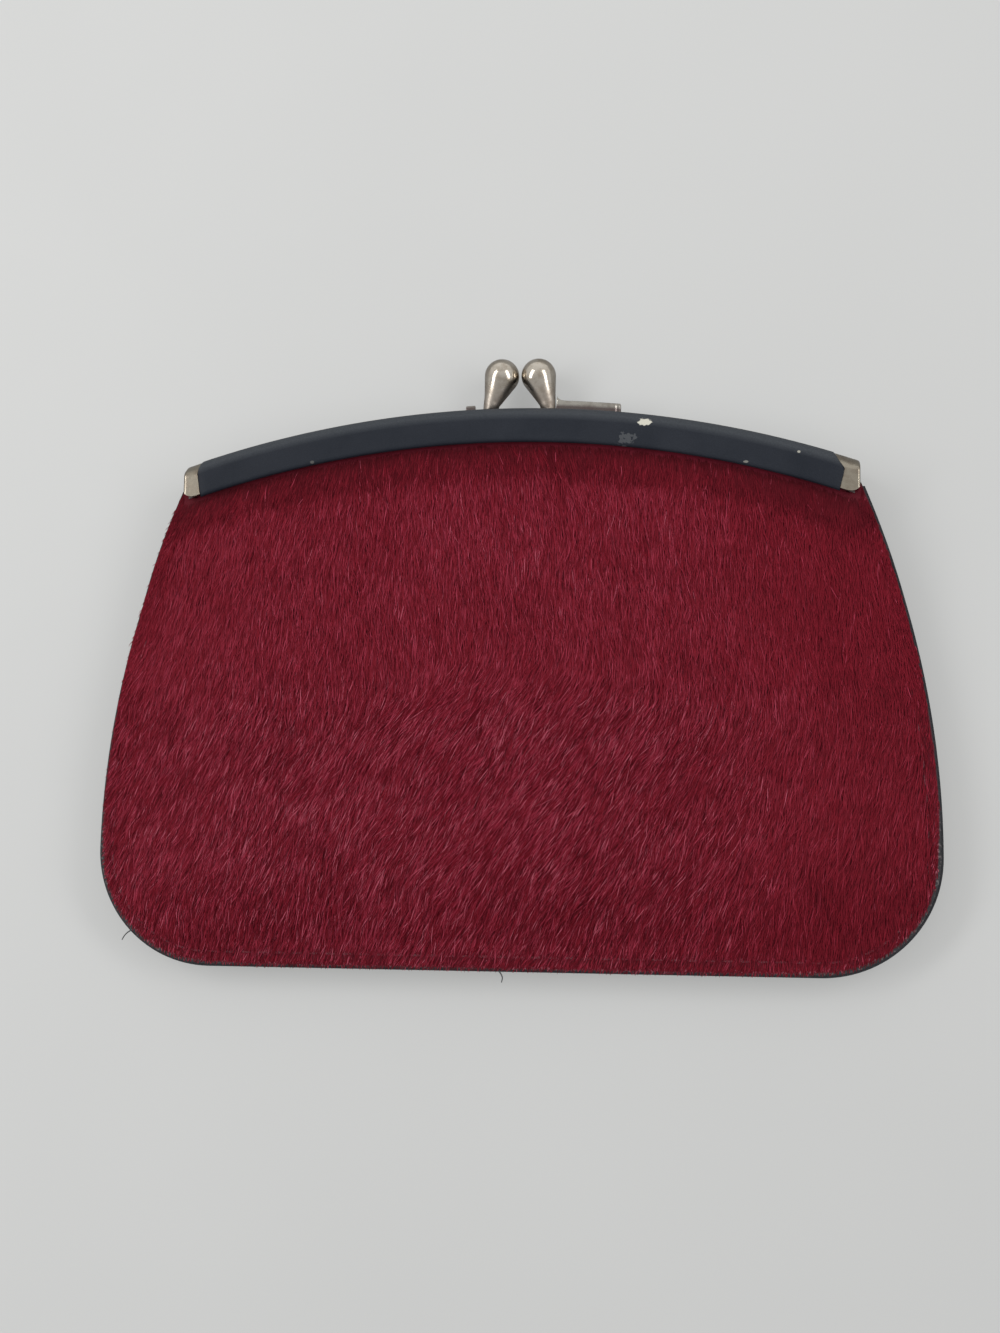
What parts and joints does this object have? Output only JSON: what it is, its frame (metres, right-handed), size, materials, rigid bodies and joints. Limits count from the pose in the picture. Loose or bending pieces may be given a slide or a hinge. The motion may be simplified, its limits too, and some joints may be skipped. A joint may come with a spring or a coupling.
{
  "type": "kiss lock wallet",
  "caption": "Flat clutch wallet in dark red hair-on hide, with an arched leather-clad frame, nickel end caps and a two-ball kiss lock; its front jaw swings up.",
  "frame": {"origin": "on the flat of the back panel, at the middle of the wallet's width and of its length with the clasp", "axes": "+X across the wallet to its right as its front is seen, +Y from the bottom seam to the clasp, +Z out of the front panel"},
  "size_m": [0.1722, 0.126, 0.0142],
  "materials": {
    "hide": "dark red hair-on hide",
    "cover": "smooth, semi-matt, near black",
    "gusset": "smooth, near black",
    "lining": "plain weave",
    "board": "stiffening board",
    "nickel": "polished nickel plate",
    "steel": "plated steel strip",
    "thread": "waxed thread",
    "paper": "twisted paper cord"
  },
  "bodies": {
    "rear_half": {"rear_hide": "hide", "rear_board": "board", "rear_lining": "lining", "pocket": "lining", "pocket_binding": "gusset", "rear_frame": "steel", "rear_frame_cover": "cover", "rear_left_cap": "nickel", "rear_right_cap": "nickel", "rear_packing_cord": "paper", "rear_knob": "nickel", "rear_knob_strip": "nickel", "rear_strip_rivet_1": "nickel", "rear_strip_rivet_2": "nickel", "rear_left_edge_strip": "gusset", "rear_right_edge_strip": "gusset", "rear_seam_thread": "thread", "left_hinge_rivet": "nickel", "right_hinge_rivet": "nickel", "gusset": "gusset", "front_hide_lower": "hide", "front_hide_fold": "hide", "front_board_lower": "board", "front_lining_lower": "lining", "front_lining_fold": "lining", "front_seam_thread": "thread"},
    "front_jaw": {"front_hide_upper": "hide", "front_board_upper": "board", "front_lining_upper": "lining", "front_frame": "steel", "front_frame_cover": "cover", "front_left_cap": "nickel", "front_right_cap": "nickel", "front_packing_cord": "paper", "front_knob": "nickel", "front_knob_strip": "nickel", "front_strip_rivet_1": "nickel", "front_strip_rivet_2": "nickel", "front_left_edge_strip": "gusset", "front_right_edge_strip": "gusset"}
  },
  "joints": [
    {"name": "jaw_hinge", "type": "hinge", "parent": "rear_half", "child": "front_jaw", "pos_m": [0, 0.01325, 0.0066], "axis": [1, 0, 0], "range_deg": [0, 75], "deforming": ["front_hide_fold", "front_lining_fold"]}
  ]
}
